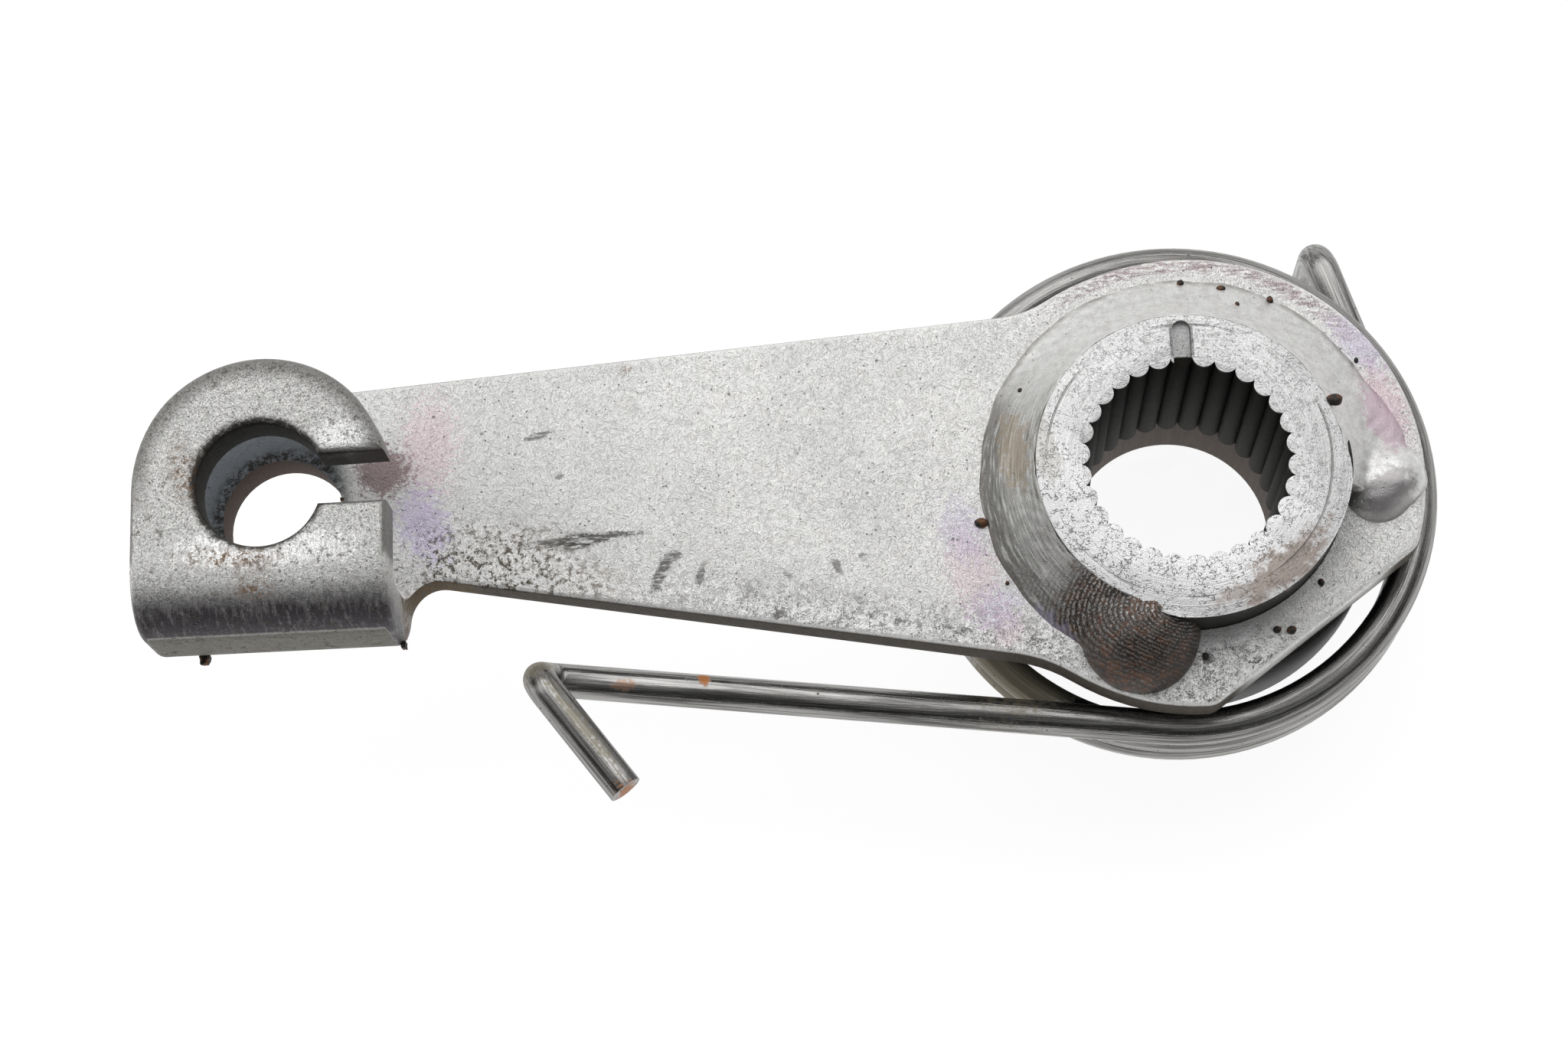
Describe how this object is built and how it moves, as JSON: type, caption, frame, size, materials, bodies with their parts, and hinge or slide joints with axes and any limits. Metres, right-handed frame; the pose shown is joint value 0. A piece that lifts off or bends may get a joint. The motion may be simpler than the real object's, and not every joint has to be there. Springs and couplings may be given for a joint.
{
  "type": "differential lock lever",
  "caption": "Pressed shift lever with a folded cable eye at one end, welded to a splined boss, and a hooked torsion return spring coiled round the boss.",
  "frame": {"origin": "centre of the boss's bore in the plane of the boss's rear face, the one at the far end from the weld", "axes": "+Z along the bore axis, out of the boss's marked front face and on the side where the cable eye is folded over; -X from the bore to the cable eye; +Y away from the spring's long leg"},
  "size_m": [0.0858, 0.0402, 0.0275],
  "materials": {
    "plated_sheet": "worn zinc plate, matt with fine pitting",
    "turned_steel": "turned, satin",
    "weld_metal": "rippled weld, dull",
    "spring_wire": "drawn wire, semi-gloss"
  },
  "bodies": {
    "lever": {"lever_arm": "plated_sheet", "splined_boss": "turned_steel", "weld_bead": "weld_metal"},
    "spring": {"return_spring": "spring_wire"}
  },
  "joints": [
    {"name": "spring_turn", "type": "hinge", "parent": "lever", "child": "spring", "pos_m": [0, 0, 0.0119], "axis": [0, 0, 1], "range_deg": [-4, 35]}
  ]
}
